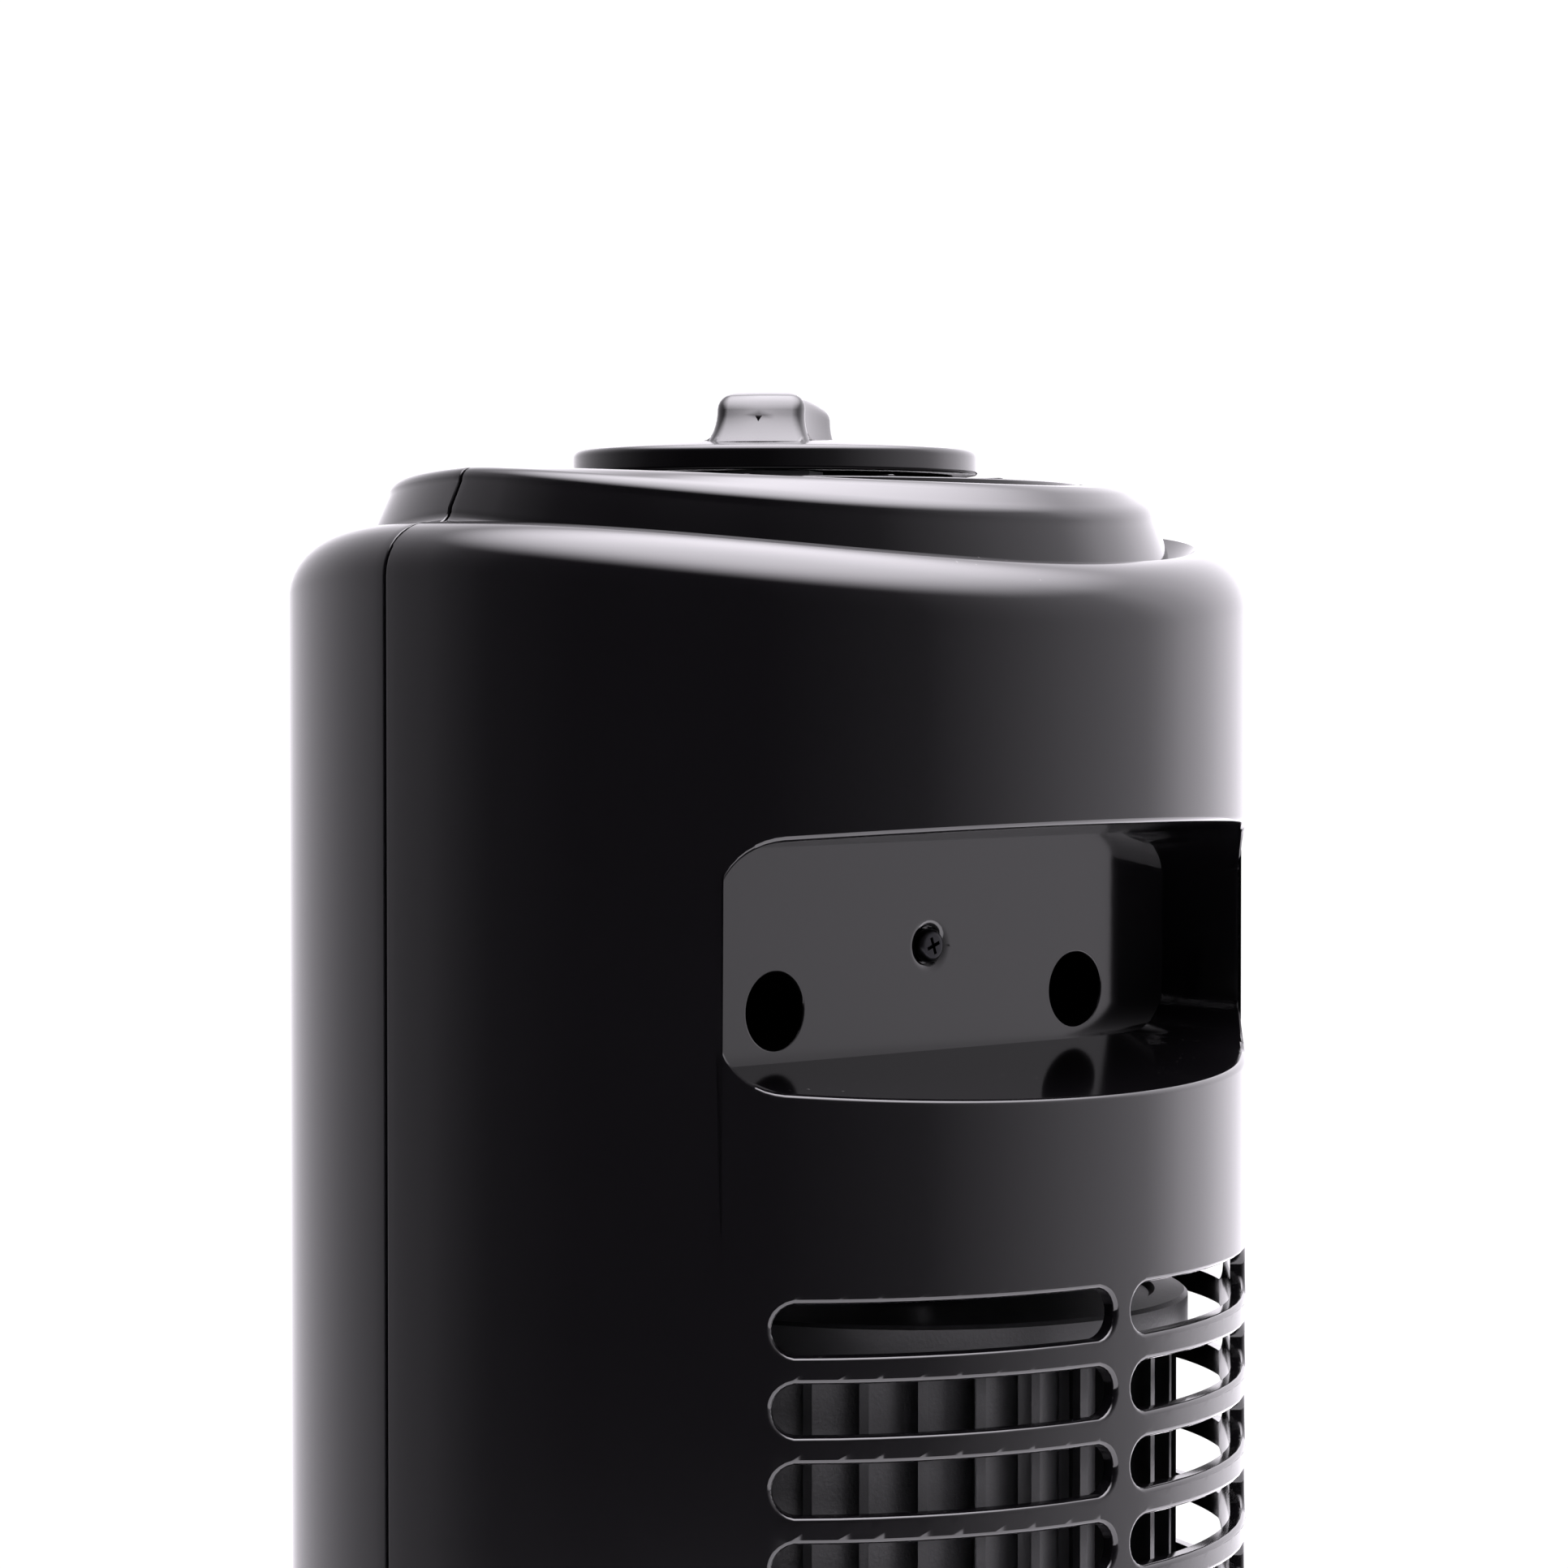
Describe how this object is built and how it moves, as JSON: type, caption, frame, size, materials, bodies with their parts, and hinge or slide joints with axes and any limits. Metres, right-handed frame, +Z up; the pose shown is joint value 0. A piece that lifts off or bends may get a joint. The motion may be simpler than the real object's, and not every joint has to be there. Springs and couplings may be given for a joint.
{
  "type": "tower fan",
  "caption": "Glossy tower fan on a round base: slotted back with a handle pocket, raised top with a control knob, cross-flow blower inside.",
  "frame": {"origin": "on the floor, on the axis that the tower swings about, at the centre of the round base", "axes": "+Z up along the tower, -Y out of the air outlet at the front, +X to the right seen from the front"},
  "size_m": [0.2386, 0.24, 0.7244],
  "materials": {
    "black_steel": "steel with a black oxide finish",
    "shell_gloss": "moulded black plastic with a high gloss",
    "knob_gloss": "moulded black plastic with a high gloss",
    "grille_black": "moulded black plastic, satin",
    "inner_black": "moulded black plastic, plain",
    "blower_black": "glass-filled black plastic, matte",
    "rubber_black": "matte black rubber",
    "shaft_steel": "ground steel",
    "zinc_steel": "zinc-plated steel",
    "nylon_white": "natural nylon",
    "motor_laminate": "varnished steel laminations"
  },
  "bodies": {
    "base": {"base_cover": "shell_gloss", "base_plate": "inner_black", "foot_1": "rubber_black", "foot_2": "rubber_black", "foot_3": "rubber_black", "foot_4": "rubber_black", "base_screw_1": "zinc_steel", "base_screw_2": "zinc_steel", "base_screw_3": "zinc_steel", "base_screw_4": "zinc_steel", "cord_gland": "rubber_black", "slide_ring": "nylon_white", "swing_motor": "zinc_steel", "swing_motor_screw_1": "zinc_steel", "swing_motor_screw_2": "zinc_steel"},
    "tower": {"turntable": "inner_black", "pivot_tube": "shaft_steel", "swing_arm": "nylon_white", "retaining_clip": "shaft_steel", "front_shell": "shell_gloss", "rear_shell": "shell_gloss", "front_grille": "grille_black", "scroll_duct": "inner_black", "cutoff_tongue": "inner_black", "motor_bracket": "zinc_steel", "motor_cap_upper": "zinc_steel", "motor_stator": "motor_laminate", "motor_cap_lower": "zinc_steel", "bracket_screw_1": "zinc_steel", "bracket_screw_2": "zinc_steel", "bracket_screw_3": "zinc_steel", "top_bracket": "inner_black", "bearing_bush": "rubber_black", "pocket_screw": "black_steel", "shell_screw_left": "zinc_steel", "shell_screw_right": "zinc_steel", "turntable_screw_1": "zinc_steel", "turntable_screw_2": "zinc_steel", "turntable_screw_3": "zinc_steel", "turntable_screw_4": "zinc_steel", "dial_plate": "shell_gloss", "switch_body": "inner_black", "switch_nut": "zinc_steel"},
    "blower": {"blower_wheel": "blower_black", "motor_shaft": "shaft_steel", "motor_rotor": "motor_laminate", "wheel_stub": "shaft_steel", "grub_screw": "shaft_steel"},
    "knob": {"control_knob": "knob_gloss", "switch_shaft": "nylon_white"},
    "crank": {"swing_crank": "nylon_white"}
  },
  "joints": [
    {"name": "tower_swing", "type": "hinge", "parent": "base", "child": "tower", "pos_m": [0, 0, 0.0413], "axis": [0, 0, 1], "range_deg": [-35, 35]},
    {"name": "blower_spin", "type": "hinge", "parent": "tower", "child": "blower", "pos_m": [-0.013, 0.018, 0.3425], "axis": [0, 0, 1], "continuous": true},
    {"name": "knob_turn", "type": "hinge", "parent": "tower", "child": "knob", "pos_m": [0, 0, 0.711], "axis": [0, 0, 1], "range_deg": [-135, 135]},
    {"name": "crank_turn", "type": "hinge", "parent": "base", "child": "crank", "pos_m": [0, 0.04, 0.0303], "axis": [0, 0, 1], "range_deg": [-125, 125]}
  ],
  "couplings": [
    {"joint": "crank_turn", "follows": "tower_swing", "ratio": 3.55}
  ]
}
